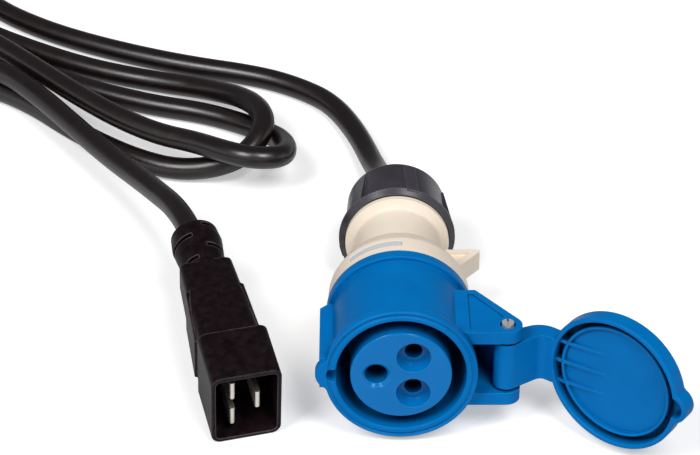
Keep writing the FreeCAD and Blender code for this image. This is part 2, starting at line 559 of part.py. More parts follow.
# ---------------------------------------------------------------- contact sleeves and their screws
# Turned brass sleeves, slit at the front, bored for the wire at the rear.
screws = []
for pole, angle, kind in POLES:
    tube_body = new_body(pole + "_contact")
    outer = f"{kind}_bore + {kind}_wall"
    lathe(tube_body, "Revolution", outline(tube_body, "XY_Plane", [
        (f"{kind}_bore", "0"), (outer, "0"), (outer, sleeve), ("wire_bore", sleeve),
        ("wire_bore", sleeve + " - wire_bore_depth"), ("0", sleeve + " - wire_bore_depth"),
        ("0", "sleeve_bore_depth"), (f"{kind}_bore", "sleeve_bore_depth")]))
    extrude(tube_body, "Pocket", outline(tube_body, "XZ_Plane", [
        ("-2 * earth_bore", "-sleeve_slit / 2"), ("2 * earth_bore", "-sleeve_slit / 2"),
        ("2 * earth_bore", "sleeve_slit / 2"), ("-2 * earth_bore", "sleeve_slit / 2")]),
        "sleeve_slit_length")
    extrude(tube_body, "Pocket", rings(tube_body, "YZ_Plane", [(sleeve + " - screw_from_end", "0",
            "screw_radius + screw_gap")]), "2 * earth_bore", reverse=True)
    turn = math.radians(angle)
    pose = coupler_pose.multiply(Placement(
        Vector(size("contact_circle") * math.cos(turn), size("entry_depth"),
               size("contact_circle") * math.sin(turn)),
        Rotation(Vector(0, 1, 0), -math.degrees(turn))))
    keep(tube_body, pose)
    # slotted grub screw standing on the conductor
    shank = doc.addObject("Part::Cylinder", pole + "_screw_shank")
    shank.setExpression("Radius", bind("screw_radius"))
    shank.setExpression("Height", bind("screw_length"))
    slot = doc.addObject("Part::Box", pole + "_screw_slot")
    for side, length in (("Length", "4 * screw_radius"), ("Width", "screw_slot"),
                         ("Height", "screw_slot + 1")):
        slot.setExpression(side, bind(length))
    slot.Placement = Placement(Vector(-2 * size("screw_radius"), -size("screw_slot") / 2,
                                      size("screw_length") - size("screw_slot")), Rotation())
    screw = doc.addObject("Part::Cut", pole + "_screw")
    screw.Base, screw.Tool = shank, slot
    screw.Placement = pose.multiply(Placement(
        Vector(size("core_radius") + size("screw_gap"), sleeve_length - size("screw_from_end"), 0),
        Rotation(Vector(0, 1, 0), 90)))
    screws.append(screw)
terminal_screws = doc.addObject("Part::Compound", "terminal_screws")
terminal_screws.Label = "terminal_screws"
terminal_screws.Links = screws
keep(terminal_screws, Placement())

# ---------------------------------------------------------------- rear housing
# Cream polyamide barrel: spigot, shoulder, neck, stop flange and the thread for the gland nut.
rear = new_body("rear_housing")
spigot = "seat_radius - seat_gap"
lathe(rear, "Revolution", outline(rear, "XY_Plane", [
    (spigot, "seat_depth + flange_thickness"), (spigot, front_end), ("rear_radius", front_end),
    ("rear_radius", "rear_barrel_end"), ("shoulder_radius", "shoulder_depth"),
    ("neck_radius", "neck_front"),
    ("neck_radius", "neck_rear"), ("rear_flange_radius - flange_slope",
                                   "rear_flange_front - flange_slope / 2"),
    ("rear_flange_radius", "rear_flange_front"), ("rear_flange_radius", "rear_flange_rear"),
    ("thread_radius", "rear_flange_rear"),
    ("thread_radius", "thread_end"), ("thread_radius - rear_wall", "thread_end"),
    ("thread_radius - rear_wall", "thread_end - seal_length - 0.5"),
    ("ledge_radius", "thread_end - seal_length - 0.5"), ("ledge_radius", "rear_flange_rear"),
    ("neck_radius - rear_wall", "rear_flange_front"), ("neck_radius - rear_wall", "neck_front"),
    ("shoulder_radius - rear_wall", "shoulder_depth - 1"), (spigot + " - rear_wall", "rear_barrel_end"),
    (spigot + " - rear_wall", "seat_depth + flange_thickness")]))
round_rims(rear, [(size("rear_radius"), size("rear_barrel_end"))], "shoulder_round")
round_rims(rear, [(size("shoulder_radius"), size("shoulder_depth"))], "shoulder_round")
round_rims(rear, [(size("neck_radius"), size("neck_rear"))], "neck_round")
# lug of the release latch, with a thin-walled recess in its top
extrude(rear, "Pad", outline(rear, "XY_Plane", [
    ("neck_radius - rear_wall / 2", "latch_rear"), ("latch_reach", "latch_rear"),
    ("latch_reach", "latch_rear - latch_tip"), ("latch_root_x", "latch_front"),
    ("neck_radius - rear_wall / 2", "shoulder_depth + 2 * latch_wall")]), "latch_width", both=True)
round_edges(rear, lambda edge: abs(edge.CenterOfMass.x - size("latch_reach")) < 0.05
            and edge.Length > size("latch_width") * 0.9, "latch_tip / 2.2")
extrude(rear, "Pocket", outline(rear, "XY_Plane", [
    ("neck_radius + latch_wall / 2", "latch_rear - latch_wall"),
    ("latch_reach - 2.4 * latch_wall", "latch_rear - latch_wall"),
    ("latch_root_x - latch_wall / 2", "latch_front + 2 * latch_wall"),
    ("neck_radius + 2 * latch_wall", "latch_front + 2 * latch_wall")], "latch_width / 2"), "latch_recess")
# the arc window of the barrel, a shallow groove over part of the turn
lathe(rear, "Groove", outline(rear, "XY_Plane", [
    ("rear_radius - slot_cut", "slot_depth"), ("rear_radius + 1", "slot_depth"),
    ("rear_radius + 1", "slot_depth + slot_width"), ("rear_radius - slot_cut", "slot_depth + slot_width")],
    "0", -90.0 - size("slot_start")), "slot_sweep")
keep(rear, coupler_pose)

# ---------------------------------------------------------------- gland nut, seal and clamping cage
# Charcoal polyamide nut with a bevelled flange and six tapering ribs.
nut = new_body("gland_nut")
nut_front, nut_end = "rear_flange_rear + 0.3", "rear_flange_rear + 0.3 + nut_length"
nut_body = outline(nut, "XY_Plane", [
    ("thread_radius + seat_gap", nut_front), ("nut_radius", nut_front),
    ("nut_flange_radius", nut_front + " + nut_flange_bevel"),
    ("nut_flange_radius", nut_front + " + nut_flange_length"),
    ("nut_radius", nut_front + " + nut_flange_length"), ("nut_rear_radius", nut_end),
    ("nut_mouth_radius", nut_end), ("nut_mouth_radius", nut_end + " - nut_wall_rear"),
    ("nut_mouth_radius + cage_wall", nut_end + " - nut_wall_rear"),
    ("thread_radius + seat_gap", "thread_end + 1.5")])
lathe(nut, "Revolution", nut_body)
round_rims(nut, [(size("nut_rear_radius"), size("rear_flange_rear") + 0.3 + size("nut_length")),
                 (size("nut_mouth_radius"), size("rear_flange_rear") + 0.3 + size("nut_length"))],
                 "nut_rear_round")
nut_rib = extrude(nut, "Pad", outline(nut, "XY_Plane", [
    ("thread_radius + rear_wall / 2", nut_front + " + nut_flange_length / 2"),
    ("nut_radius + nut_rib_height", nut_front + " + nut_flange_length / 2"),
    ("nut_rear_radius + nut_rib_rear_height", nut_end + " - 2 * nut_rear_round"),
    ("nut_rear_radius - nut_rear_round", nut_end + " - nut_rear_round"),
    ("thread_radius + rear_wall / 2", nut_end + " - nut_rear_round")],
    "0", size("nut_rib_turn") - 90.0), "nut_rib_width", both=True)
repeat(nut, [nut_rib], "nut_ribs", nut_body)
keep(nut, coupler_pose)

# Rubber ring squeezed round the cable, and the slotted cage that the nut drives onto it.
seal = new_body("gland_seal")
lathe(seal, "Revolution", outline(seal, "XY_Plane", [
    ("cable_radius + screw_gap", "thread_end - seal_length"),
    ("thread_radius - rear_wall - seat_gap", "thread_end - seal_length"),
    ("thread_radius - rear_wall - seat_gap", "thread_end"), ("cable_radius + screw_gap", "thread_end")]))
keep(seal, coupler_pose)
cage = new_body("clamping_cage")
cage_ring = outline(cage, "XY_Plane", [
    ("cable_radius + seat_gap", "thread_end"), ("thread_radius - rear_wall", "thread_end"),
    ("thread_radius - rear_wall - cage_wall", "thread_end + cage_length"),
    ("cable_radius + seat_gap", "thread_end + cage_length")])
lathe(cage, "Revolution", cage_ring)
cage_slit = extrude(cage, "Pocket", outline(cage, "XZ_Plane", [
    ("cable_radius + cage_wall", "-seat_gap * 6"), ("2 * thread_radius", "-seat_gap * 6"),
    ("2 * thread_radius", "seat_gap * 6"), ("cable_radius + cage_wall", "seat_gap * 6")],
    "-(thread_end + cage_wall / 2)"),
    "2 * cage_length")
repeat(cage, [cage_slit], "nut_ribs", cage_ring)
keep(cage, coupler_pose)

# ---------------------------------------------------------------- plug
# Black moulded appliance plug: open shroud, tapering grip and slotted strain relief.
plug = new_body("plug_body")


def rectangle(across, up, shift="0"):
    return [(f"{shift} - ({across}) / 2", f"-({up}) / 2"), (f"{shift} + ({across}) / 2", f"-({up}) / 2"),
            (f"{shift} + ({across}) / 2", f"({up}) / 2"), (f"{shift} - ({across}) / 2", f"({up}) / 2")]


def along_axis(edge):
    ends = [vertex.Point for vertex in edge.Vertexes]
    return len(ends) == 2 and abs(ends[1].x - ends[0].x) < 4 and abs(ends[1].y - ends[0].y) > 3 \
        and abs(ends[1].z - ends[0].z) < 9


extrude(plug, "Pad", outline(plug, "XZ_Plane", rectangle("shroud_width", "shroud_height")),
        "shroud_length", reverse=True)
round_edges(plug, along_axis, "shroud_corner")
round_edges(plug, lambda edge: max(abs(vertex.Point.y) for vertex in edge.Vertexes) < 0.01, "shroud_edge")
front_face = outline(plug, "XZ_Plane", rectangle("grip_width", "shroud_height - 2 * grip_step",
                                                 "grip_shift"), "-(shroud_length - 0.5)")
rear_face = outline(plug, "XZ_Plane", rectangle("grip_rear_width", "grip_rear_height"), "-grip_end")
loft = plug.newObject("PartDesign::AdditiveLoft", "grip_loft")
loft.Profile = front_face
loft.Sections = [rear_face]
loft.Ruled = True
loft.Refine = False
doc.recompute()
round_edges(plug, lambda edge: along_axis(edge) and edge.CenterOfMass.y > size("shroud_length") + 5,
            "grip_corner")
for side in ("-1", "1"):
    extrude(plug, "Pad", outline(plug, "XY_Plane", [
        ("0", "grip_panel_front"), (f"{side} * (grip_width / 2 - grip_panel_proud / 2) + grip_shift",
                                    "grip_panel_front"),
        (f"{side} * (grip_width / 2 + grip_panel_proud) + grip_shift",
         "grip_panel_front + grip_panel_proud"),
        (f"{side} * (grip_rear_width / 2 + grip_panel_proud)"
         " + grip_shift * (1 - (grip_panel_rear - shroud_length) / (grip_end - shroud_length))",
         "grip_panel_rear - grip_panel_proud"),
        (f"{side} * (grip_rear_width / 2 - grip_panel_proud / 2)", "grip_panel_rear"),
        ("0", "grip_panel_rear")]),
        "grip_panel_height", both=True)
relief = outline(plug, "XY_Plane", [
    ("0", "grip_end - relief_pitch"), ("relief_waist", "grip_end - relief_pitch"),
    ("relief_waist", "grip_end + 2"),
    ("relief_radius", "relief_swell"), ("relief_radius - 0.6", "relief_end - 2.4"),
    ("relief_end_radius", "relief_end"), ("0", "relief_end")])
lathe(plug, "Revolution", relief)
for number, turned in enumerate((105.0, -75.0, 105.0, -75.0)):
    place = f"grip_end + {number} * relief_pitch + relief_slot"
    lathe(plug, "Groove", outline(plug, "XY_Plane", [
        ("relief_waist - relief_slot_depth", place), ("relief_radius + 2", place),
        ("relief_radius + 2", place + " + relief_slot"),
        ("relief_waist - relief_slot_depth", place + " + relief_slot")],
        "0", turned), "150")
extrude(plug, "Pocket", outline(plug, "XZ_Plane",
                                rectangle("shroud_width - 2 * shroud_wall",
                                          "shroud_height - 2 * shroud_wall")),
        "cavity_depth + bridge_thickness")
round_edges(plug, lambda edge: along_axis(edge) and edge.Length > size("cavity_depth")
            and abs(abs(edge.CenterOfMass.x) - size("shroud_width") / 2 + size("shroud_wall")) < 0.01
            and abs(abs(edge.CenterOfMass.z) - size("shroud_height") / 2 + size("shroud_wall")) < 0.01,
            "shroud_corner - shroud_wall")
extrude(plug, "Pocket", rings(plug, "XZ_Plane", [("0", "0", "cable_radius + press_gap")],
                              "-(relief_end + 1)"),
        "relief_end + 1 - cable_stop", reverse=True)
BLADES = [("line", "-blade_offset / 2", "blade_spread / 2"),
          ("neutral", "-blade_offset / 2", "-blade_spread / 2"),
          ("earth", "blade_offset / 2", "0")]


def blade_section(across, up, room):
    wide, tall = f"(blade_thickness / 2 + {room})", f"(blade_width / 2 + {room})"
    return [(f"{across} - {wide}", f"{up} - {tall}"), (f"{across} + {wide}", f"{up} - {tall}"),
            (f"{across} + {wide}", f"{up} + {tall}"), (f"{across} - {wide}", f"{up} + {tall}")]


for name, across, up in BLADES:
    extrude(plug, "Pocket", outline(plug, "XZ_Plane", blade_section(across, up, "press_gap")),
            "cavity_depth + blade_root")
keep(plug, plug_pose)

# Grey-black bridge that closes the bottom of the shroud round the blades.
bridge = new_body("plug_bridge")
extrude(bridge, "Pad", outline(bridge, "XZ_Plane", rectangle(
    "shroud_width - 2 * (shroud_wall + screw_gap)", "shroud_height - 2 * (shroud_wall + screw_gap)"),
    "-cavity_depth"), "bridge_thickness", reverse=True)
round_edges(bridge,
            lambda edge: abs(edge.Vertexes[0].Point.y - edge.Vertexes[-1].Point.y) > size("bridge_thickness") / 2,
            "shroud_corner - shroud_wall")
for name, across, up in BLADES:
    extrude(bridge, "Pocket", outline(bridge, "XZ_Plane", blade_section(across, up, "press_gap"), "0"),
            "cavity_depth + blade_root")
keep(bridge, plug_pose)

# Nickel-plated brass blades.
for name, across, up in BLADES:
    blade = new_body(name + "_blade")
    extrude(blade, "Pad", outline(blade, "XZ_Plane", blade_section(across, up, "0"), "-blade_set_back"),
            "cavity_depth + blade_root - blade_set_back", reverse=True)
    round_edges(blade, lambda edge: abs(edge.CenterOfMass.y - size("blade_set_back")) < 0.01
                and edge.Length > size("blade_thickness") + 0.1, "blade_round")
    keep(blade, plug_pose)

# ---------------------------------------------------------------- cable
# The route on the table, in order from the coupler to the plug, as X, Y and height.
low = size("cable_radius")
high = 3 * low + 1.0
ROUTE = [
    (-3.0, 134.0, 16.6), (-7.5, 157.0, 7.6), (-15.3, 184.0, low), (-26.0, 206.5, low),
    (-42.5, 221.5, low), (-64.0, 231.5, low), (-95.0, 241.5, low), (-129.1, 254.7, low),
    (-160.0, 272.5, low), (-184.0, 295.0, low), (-199.5, 320.0, low), (-214.0, 345.5, low),
    (-227.6, 371.7, low), (-251.1, 380.0, low), (-274.1, 370.2, low), (-284.3, 347.4, low),
    (-276.4, 323.8, low), (-242.0, 305.5, low), (-208.0, 287.5, low), (-174.4, 265.0, low),
    (-150.6, 248.8, low), (-127.6, 237.8, low), (-99.0, 228.5, low), (-72.0, 219.5, 9.5),
    (-55.0, 202.0, 16.8), (-55.0, 177.0, 16.8), (-71.0, 159.5, 8.5), (-94.0, 162.5, low),
    (-112.0, 177.0, low), (-128.5, 188.5, low), (-146.0, 203.5, low), (-173.0, 221.5, low),
    (-206.0, 229.5, low), (-240.0, 230.5, low), (-270.0, 232.1, low), (-287.4, 249.2, low),
    (-289.1, 273.4, low), (-274.3, 292.7, low), (-250.3, 296.0, low), (-226.0, 282.5, low),
    (-200.0, 267.0, low), (-173.0, 250.6, low), (-148.0, 235.5, low), (-121.8, 222.0, low),
    (-92.0, 211.5, low), (-62.0, 194.5, low), (-46.0, 176.0, 8.5), (-46.5, 157.0, 16.5),
    (-60.0, 146.0, 20.5), (-79.0, 150.5, 20.5), (-96.0, 170.0, 16.5), (-116.0, 190.0, high),
    (-141.0, 215.3, high), (-171.0, 245.2, high), (-200.0, 269.5, high), (-226.0, 287.5, high),
    (-252.1, 304.2, high), (-276.0, 301.2, high), (-291.9, 283.2, high), (-292.1, 259.1, high),
    (-276.4, 240.9, high), (-243.0, 235.0, high), (-206.0, 232.5, high), (-169.0, 223.5, high),
    (-145.0, 199.0, high), (-130.0, 176.5, high), (-113.0, 149.0, 17.5), (-96.0, 126.5, 20.6),
]
axis = coupler_pose.multVec
tail = plug_pose.multVec
shift_x, shift_y = size("mouth_x"), size("mouth_y")
route = [axis(Vector(0, size("cable_entry"), 0)),
         axis(Vector(0, size("nut_length") + size("cable_entry") - 1.0, 0))]
route += [Vector(x + shift_x, y + shift_y, z) for x, y, z in ROUTE]
route += [tail(Vector(0, size("relief_end") + 9.0, 0)), tail(Vector(0, size("cable_stop"), 0))]
cable_solid, cable_path, bends = tube(route, size("cable_radius"))
cable = wire_piece("cable", cable_solid)
section = math.pi * size("cable_radius") ** 2
print("cable length", round(cable_path.Length, 1), "volume share",
      round(cable_solid.Volume / (section * cable_path.Length), 4))
print("bend radii", [round(radius, 1) for radius in bends])
print("runs", [round((b - a).Length, 1) for a, b in zip(route, route[1:])])

# Three insulated cores fan out from the stripped end of the cable to the sleeves.
for pole, angle, kind in POLES:
    turn = math.radians(angle)

    def at(radius, depth):
        return axis(Vector(radius * math.cos(turn), depth, radius * math.sin(turn)))

    start = size("entry_depth") + sleeve_length - size("wire_bore_depth") + size("core_radius") / 2
    core, core_path, core_bends = tube([
        at(size("contact_circle"), start), at(size("contact_circle"),
                                              start + 1.8 * size("wire_bore_depth")),
        at(1.6 * size("core_radius"), size("cable_entry") - 1.4 * size("wire_bore_depth")),
        at(1.6 * size("core_radius"), size("cable_entry"))],
        size("core_radius"))
    wire_piece(pole + "_core", core)

# ---------------------------------------------------------------- checks and export
doc.recompute()
for thing in doc.Objects:
    if any(state in ("Invalid", "Error") for state in thing.State):
        raise RuntimeError(f"{thing.Name} {thing.State}")
for piece in pieces:
    shape = piece.Shape
    if shape.isNull() or not shape.isValid() or not shape.Solids:
        raise RuntimeError(f"{piece.Label} has no valid solid")
for piece in pieces:
    piece.Shape.exportStep(f"parts/{piece.Label}.step")
print("pieces", len(pieces))
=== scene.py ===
import json
import math

import bpy
from mathutils import Euler, Matrix, Vector


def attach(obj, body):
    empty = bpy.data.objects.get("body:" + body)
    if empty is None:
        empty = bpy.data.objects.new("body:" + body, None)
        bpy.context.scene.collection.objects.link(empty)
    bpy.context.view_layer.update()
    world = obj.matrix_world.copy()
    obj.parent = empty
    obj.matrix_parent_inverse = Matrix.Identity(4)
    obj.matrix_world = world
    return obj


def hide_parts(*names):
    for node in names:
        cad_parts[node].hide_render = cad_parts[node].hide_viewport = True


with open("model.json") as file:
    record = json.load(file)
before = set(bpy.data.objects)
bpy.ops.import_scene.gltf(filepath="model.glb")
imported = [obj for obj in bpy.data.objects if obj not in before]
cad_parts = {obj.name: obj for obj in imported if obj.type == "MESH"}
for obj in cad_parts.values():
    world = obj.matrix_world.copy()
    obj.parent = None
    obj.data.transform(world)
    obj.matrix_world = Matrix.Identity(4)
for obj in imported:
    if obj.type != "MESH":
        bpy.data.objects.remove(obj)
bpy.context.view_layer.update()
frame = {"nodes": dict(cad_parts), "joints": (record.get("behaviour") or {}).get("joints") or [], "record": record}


# ------------------------------------------------------------------ studio
# A white table top with a high softbox at each side of the camera and a dim, even sky.
# The camera stands in front of the coupler and looks down on the lead.
def linear(code):
    """An sRGB hex colour as linear red, green, blue and alpha."""
    parts = [int(code[i:i + 2], 16) / 255 for i in (1, 3, 5)]
    return [c / 12.92 if c <= 0.04045 else ((c + 0.055) / 1.055) ** 2.4 for c in parts] + [1.0]


def add(material, kind, settings=None, feeds=None, **inputs):
    """One node with its settings.  Inputs go by name, or in feeds by their place on the node
    where names repeat; each is a value or the output that feeds it."""
    tree = material.node_tree
    made = tree.nodes.new("ShaderNode" + kind)
    for name, value in (settings or {}).items():
        setattr(made, name, value)
    named = {name.replace("_", " "): value for name, value in inputs.items()}
    for key, value in (*named.items(), *(feeds or {}).items()):
        socket = made.inputs[key]
        if isinstance(value, bpy.types.NodeSocket):
            tree.links.new(value, socket)
        else:
            socket.default_value = value
    return made


def new_material(name):
    material = bpy.data.materials.new(name)
    material.use_nodes = True
    material.node_tree.nodes.clear()
    return material


scene = bpy.context.scene
scene.view_settings.view_transform = "Standard"
CAMERA_PLACE = Vector((-0.0533, -0.6924, 0.5781))
CAMERA_TILT = math.radians(53.2)
lens = bpy.data.cameras.new("studio_camera")
lens.sensor_width = 36
lens.lens = 123.43
lens.clip_end = 20
camera = bpy.data.objects.new("studio_camera", lens)
camera.location = CAMERA_PLACE
camera.rotation_euler = Euler((CAMERA_TILT, 0, 0))
scene.collection.objects.link(camera)
scene.camera = camera

# The room is white to the camera.  In reflections it is dim, with white sweeps in front and at the
# sides about 25 degrees high: they end between these heights, and at the back between these depths.
SWEEP_TOP = (0.36, 0.48)
SWEEP_BACK = (0.0, 0.4)
SKY_STRENGTH = 0.16
world = bpy.data.worlds.new("studio_sky")
scene.world = world
world.use_nodes = True
world.node_tree.nodes.clear()
sky_rays = add(world, "LightPath")
direction = add(world, "TexCoord")
parts = add(world, "SeparateXYZ", Vector=direction.outputs["Generated"])
low = add(world, "MapRange", Value=parts.outputs["Z"], From_Min=SWEEP_TOP[0], From_Max=SWEEP_TOP[1],
          To_Min=1.0, To_Max=0.0)
front = add(world, "MapRange", Value=parts.outputs["Y"], From_Min=SWEEP_BACK[0], From_Max=SWEEP_BACK[1],
            To_Min=1.0, To_Max=0.0)
mirrored = add(world, "Math", {"operation": "MAXIMUM"},
               {0: sky_rays.outputs["Is Glossy Ray"], 1: sky_rays.outputs["Is Transmission Ray"]})
sweeps = add(world, "Math", {"operation": "MULTIPLY"},
             {0: low.outputs["Result"], 1: front.outputs["Result"]})
swept = add(world, "Math", {"operation": "MULTIPLY"}, {0: mirrored.outputs[0], 1: sweeps.outputs[0]})
seen = add(world, "Math", {"operation": "MAXIMUM"},
           {0: sky_rays.outputs["Is Camera Ray"], 1: swept.outputs[0]})
sky = add(world, "Background", Color=linear("#f4f6fa"), Strength=SKY_STRENGTH)
backdrop = add(world, "Background", Color=(1, 1, 1, 1), Strength=1.0)
choose = add(world, "MixShader", feeds={1: sky.outputs[0], 2: backdrop.outputs[0]}, Fac=seen.outputs[0])
add(world, "OutputWorld", Surface=choose.outputs[0])


def softbox(name, place, aim, width, depth, watts):
    """A rectangular lamp on a stand, turned towards a point on the table."""
    lamp = bpy.data.lights.new(name, "AREA")
    lamp.shape = "RECTANGLE"
    lamp.size = width
    lamp.size_y = depth
    lamp.energy = watts
    stand = bpy.data.objects.new(name, lamp)
    stand.location = Vector(place)
    stand.rotation_euler = (Vector(aim) - Vector(place)).to_track_quat("-Z", "Y").to_euler()
    scene.collection.objects.link(stand)


softbox("left_softbox", place=(-0.85, -0.75, 1.35), aim=(-0.1, 0.05, 0), width=0.6, depth=0.7, watts=19.5)
softbox("right_softbox", place=(0.4, -0.75, 1.35), aim=(-0.05, 0.05, 0), width=0.5, depth=0.7, watts=15.5)

# The table lies a hair under the lead.  Its white card is matt and keeps the shadows, and it glows
# a little for the camera, so that it runs into the white room behind it.
TABLE_REACH = 4
TABLE_DROP = 0.0002
CARD_GLOW = 0.42
floor_mesh = bpy.data.meshes.new("table_top")
floor_corners = [(TABLE_REACH * x, TABLE_REACH * y, 0) for x, y in ((-1, -1), (1, -1), (1, 1), (-1, 1))]
floor_mesh.from_pydata(floor_corners, [], [(0, 1, 2, 3)])
table_top = bpy.data.objects.new("table_top", floor_mesh)
table_top.location.z = -TABLE_DROP
scene.collection.objects.link(table_top)
white_card = new_material("white_card")
card_rays = add(white_card, "LightPath")
card_seen = add(white_card, "Math", {"operation": "MAXIMUM"},
                {0: card_rays.outputs["Is Camera Ray"], 1: card_rays.outputs["Is Transmission Ray"]})
matt = add(white_card, "BsdfDiffuse", Color=linear("#e2e2e2"))
lit = add(white_card, "Emission", Color=(1, 1, 1, 1), Strength=CARD_GLOW)
both = add(white_card, "AddShader", feeds={0: matt.outputs[0], 1: lit.outputs[0]})
card = add(white_card, "MixShader", feeds={1: matt.outputs[0], 2: both.outputs[0]}, Fac=card_seen.outputs[0])
add(white_card, "OutputMaterial", Surface=card.outputs[0])
table_top.data.materials.append(white_card)

# ------------------------------------------------------------------ cable
# Three-core flexible cable with a round black PVC sheath, extruded over the twisted cores.  It is
# gripped in the nut, laid down in a loose hank of long loops and moulded into the plug.
CABLE_RADIUS = 4.6
CROSSING_GAP = 1.0
LOW = CABLE_RADIUS            # lying on the table
HIGH = 3 * LOW + CROSSING_GAP  # lying over a stretch that lies on the table
NOSE_UP = math.radians(4.4)
PLUG_YAW = math.radians(14.9)
PLUG_NOSE_DOWN = math.radians(7.4)
PLUG_FACE = Vector((-89.981, -47.923, 16.363))
CABLE_ENTRY = 92              # depths behind the coupler's mouth
LEAVES_STRAIGHT = 117
PAST_RELIEF = 100             # depths behind the plug's face
CABLE_STOP = 76
mounts = {mount["name"]: mount for mount in frame["record"]["mounts"]}
MOUTH = Vector(mounts["coupler_mouth"]["pos_m"]) * 1000
coupler = Matrix.Translation(MOUTH) @ Matrix.Rotation(-NOSE_UP, 4, "X")
plug = (Matrix.Translation(PLUG_FACE) @ Matrix.Rotation(PLUG_YAW, 4, "Z")
        @ Matrix.Rotation(PLUG_NOSE_DOWN, 4, "X"))
# The route on the table, in order from the coupler to the plug: X and Y from the mouth, and height.
ROUTE = [
    (-3.0, 134.0, 16.6), (-7.5, 157.0, 7.6), (-14.8, 187.0, LOW), (-25.5, 209.5, LOW),
    (-39.5, 221.5, LOW), (-57.5, 231.0, LOW), (-92.8, 240.2, LOW), (-129.1, 254.6, LOW),
    (-157.5, 270.0, LOW), (-181.5, 289.5, LOW), (-199.5, 318.0, LOW), (-214.0, 345.5, LOW),
    (-227.6, 371.7, LOW), (-251.1, 380.0, LOW), (-274.1, 370.2, LOW), (-284.3, 347.4, LOW),
    (-276.4, 323.8, LOW), (-242.0, 305.5, LOW), (-207.0, 285.5, LOW), (-174.6, 262.0, LOW),
    (-155.3, 249.8, LOW), (-136.6, 239.4, LOW), (-118.5, 231.9, LOW), (-99.5, 226.0, LOW),
    (-81.0, 218.5, 6.5), (-64.5, 203.5, 12.5), (-55.5, 188.0, 16.8), (-53.0, 174.5, 16.5),
    (-60.0, 162.0, 11.5), (-74.0, 159.0, 6.8), (-90.0, 160.8, LOW), (-105.5, 167.6, LOW),
    (-120.0, 177.5, LOW), (-136.0, 191.0, LOW), (-154.5, 210.0, LOW), (-175.0, 224.0, LOW),
    (-206.0, 230.0, LOW), (-240.0, 230.5, LOW), (-270.0, 232.1, LOW), (-287.4, 249.2, LOW),
    (-289.1, 273.4, LOW), (-274.3, 292.7, LOW), (-250.3, 296.0, LOW), (-226.0, 281.5, LOW),
    (-201.0, 265.5, LOW), (-177.5, 251.0, LOW), (-155.5, 235.5, LOW), (-135.0, 222.5, LOW),
    (-117.1, 214.3, LOW), (-99.5, 207.6, LOW), (-81.0, 202.8, LOW), (-63.5, 194.5, LOW),
    (-49.0, 181.5, 7.2), (-44.0, 165.0, 13.5), (-45.0, 149.5, 19.0), (-56.5, 145.5, 21.0),
    (-68.5, 151.0, 20.5), (-82.0, 163.8, 16.5), (-97.0, 171.6, HIGH), (-114.2, 183.5, HIGH),
    (-132.4, 200.2, HIGH), (-151.3, 219.8, HIGH), (-171.5, 240.5, HIGH), (-198.0, 263.5, HIGH),
    (-225.0, 285.0, HIGH), (-252.1, 303.0, HIGH), (-276.0, 301.2, HIGH), (-291.9, 283.2, HIGH),
    (-292.1, 259.1, HIGH), (-276.4, 240.9, HIGH), (-243.0, 234.0, HIGH), (-206.0, 232.5, HIGH),
    (-169.5, 222.5, HIGH), (-149.3, 200.5, HIGH), (-131.6, 176.6, HIGH), (-115.0, 153.2, 15.8),
    (-99.2, 130.0, 20.0),
]
knots = [coupler @ Vector((0, CABLE_ENTRY, 0)), coupler @ Vector((0, LEAVES_STRAIGHT, 0))]
knots += [Vector((x + MOUTH.x, y + MOUTH.y, z)) for x, y, z in ROUTE]
knots += [plug @ Vector((0, PAST_RELIEF, 0)), plug @ Vector((0, CABLE_STOP, 0))]
line = bpy.data.curves.new("cable_sheath", "CURVE")
line.dimensions = "3D"
spline = line.splines.new("NURBS")
spline.points.add(len(knots) - 1)
for knot, place in zip(spline.points, knots):
    knot.co = (*(place / 1000), 1)
    knot.radius = CABLE_RADIUS / 1000
spline.order_u = 3
spline.use_endpoint_u = True
spline.resolution_u = 12
line.bevel_depth = 1.0        # times the radius of each knot
line.bevel_resolution = 8
line.use_fill_caps = True
sheath = bpy.data.objects.new("cable_sheath", line)
scene.collection.objects.link(sheath)
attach(sheath, "lead")
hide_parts("cable")

# PVC comes off the extruder smooth: the eye gets a soft streak of light along each run, a faint
# ripple in it, and scuffs that dull it here and there over a warm black.
SCUFF_PITCH = 6
RIPPLE_PITCH = 0.9
RIPPLE_HEIGHT = 0.04
pvc = new_material("extruded_black_pvc")
where = add(pvc, "TexCoord")
scuffs = add(pvc, "TexNoise", Vector=where.outputs["Object"], Scale=1000 / SCUFF_PITCH, Detail=5.0,
             Roughness=0.6)
shine = add(pvc, "MapRange", Value=scuffs.outputs["Fac"], From_Min=0.35, From_Max=0.7,
            To_Min=0.29, To_Max=0.36)
warm_black = add(pvc, "ValToRGB", Fac=scuffs.outputs["Fac"])
warm_black.color_ramp.elements[0].color = linear("#0c0303")
warm_black.color_ramp.elements[1].color = linear("#150a0b")
ripple = add(pvc, "TexNoise", Vector=where.outputs["Object"], Scale=1000 / RIPPLE_PITCH, Detail=2.0)
relief = add(pvc, "Bump", Height=ripple.outputs["Fac"], Distance=RIPPLE_HEIGHT / 1000, Strength=0.5)
skin = add(pvc, "BsdfPrincipled", Base_Color=warm_black.outputs["Color"], Roughness=shine.outputs["Result"],
           IOR=1.52, Specular_IOR_Level=0.6, Normal=relief.outputs["Normal"])
add(pvc, "OutputMaterial", Surface=skin.outputs[0])
line.materials.append(pvc)

# ------------------------------------------------------------------ front housing and lid
# Blue glass-filled polyamide, each injection moulded in one shot; the lid turns on the ears of the
# housing.  The tool is spark eroded, which leaves a fine even grain.
CLOUDS = (0.3, 0.7)           # the noise seldom leaves these values
# the painted edge highlight lies where the turn falls between these
EDGE_TURNED = (0.93, 0.9995)  # cosine of the turn between the rounded and the true face
# painted shade in recesses: how far it looks, how little sky darkens it, and how dark it gets
RECESS_REACH = 9
RECESS_OPEN = (0.05, 0.6)     # share of the sky that a recess sees
RECESS_DARK = 0.03


